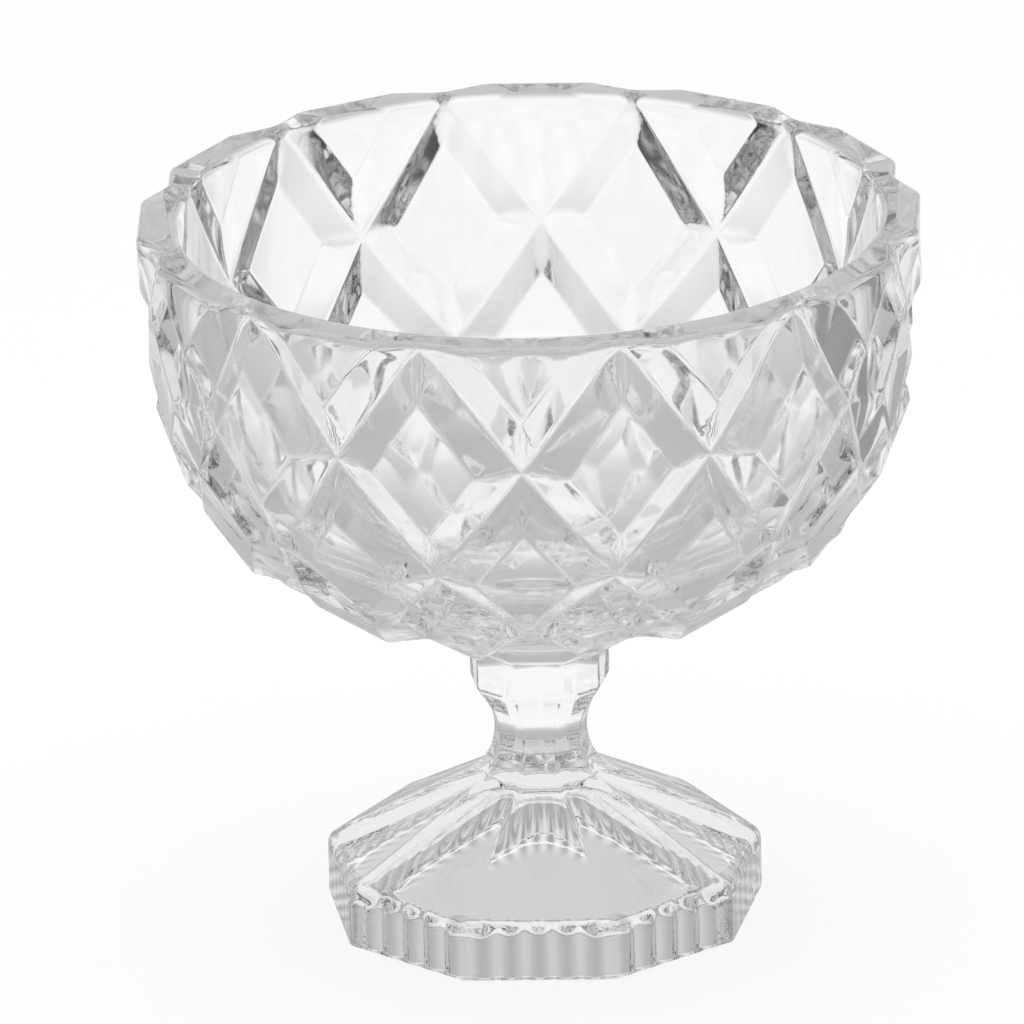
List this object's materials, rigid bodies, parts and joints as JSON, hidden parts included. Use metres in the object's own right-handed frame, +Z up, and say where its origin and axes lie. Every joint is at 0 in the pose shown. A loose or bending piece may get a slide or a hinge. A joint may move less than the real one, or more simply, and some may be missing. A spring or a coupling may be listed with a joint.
{
  "type": "glass centerpiece bowl",
  "caption": "Footed clear-glass centerpiece bowl: round and smooth inside, raised lozenge lattice outside, on a waisted stem and a faceted hollow foot, for fruit or table display.",
  "frame": {"origin": "middle of the face that the foot stands on", "axes": "+Z up along the bowl's axis; -Y towards the front of the picture, square to one flat side of the foot; +X to the right of the picture"},
  "size_m": [0.2, 0.2, 0.1898],
  "materials": {
    "bowl_glass": "fire-polished clear",
    "foot_glass": "fire-polished clear",
    "bond": "clear cured adhesive"
  },
  "bodies": {
    "root": {"bowl": "bowl_glass", "foot": "foot_glass", "bond_film": "bond"}
  },
  "joints": []
}
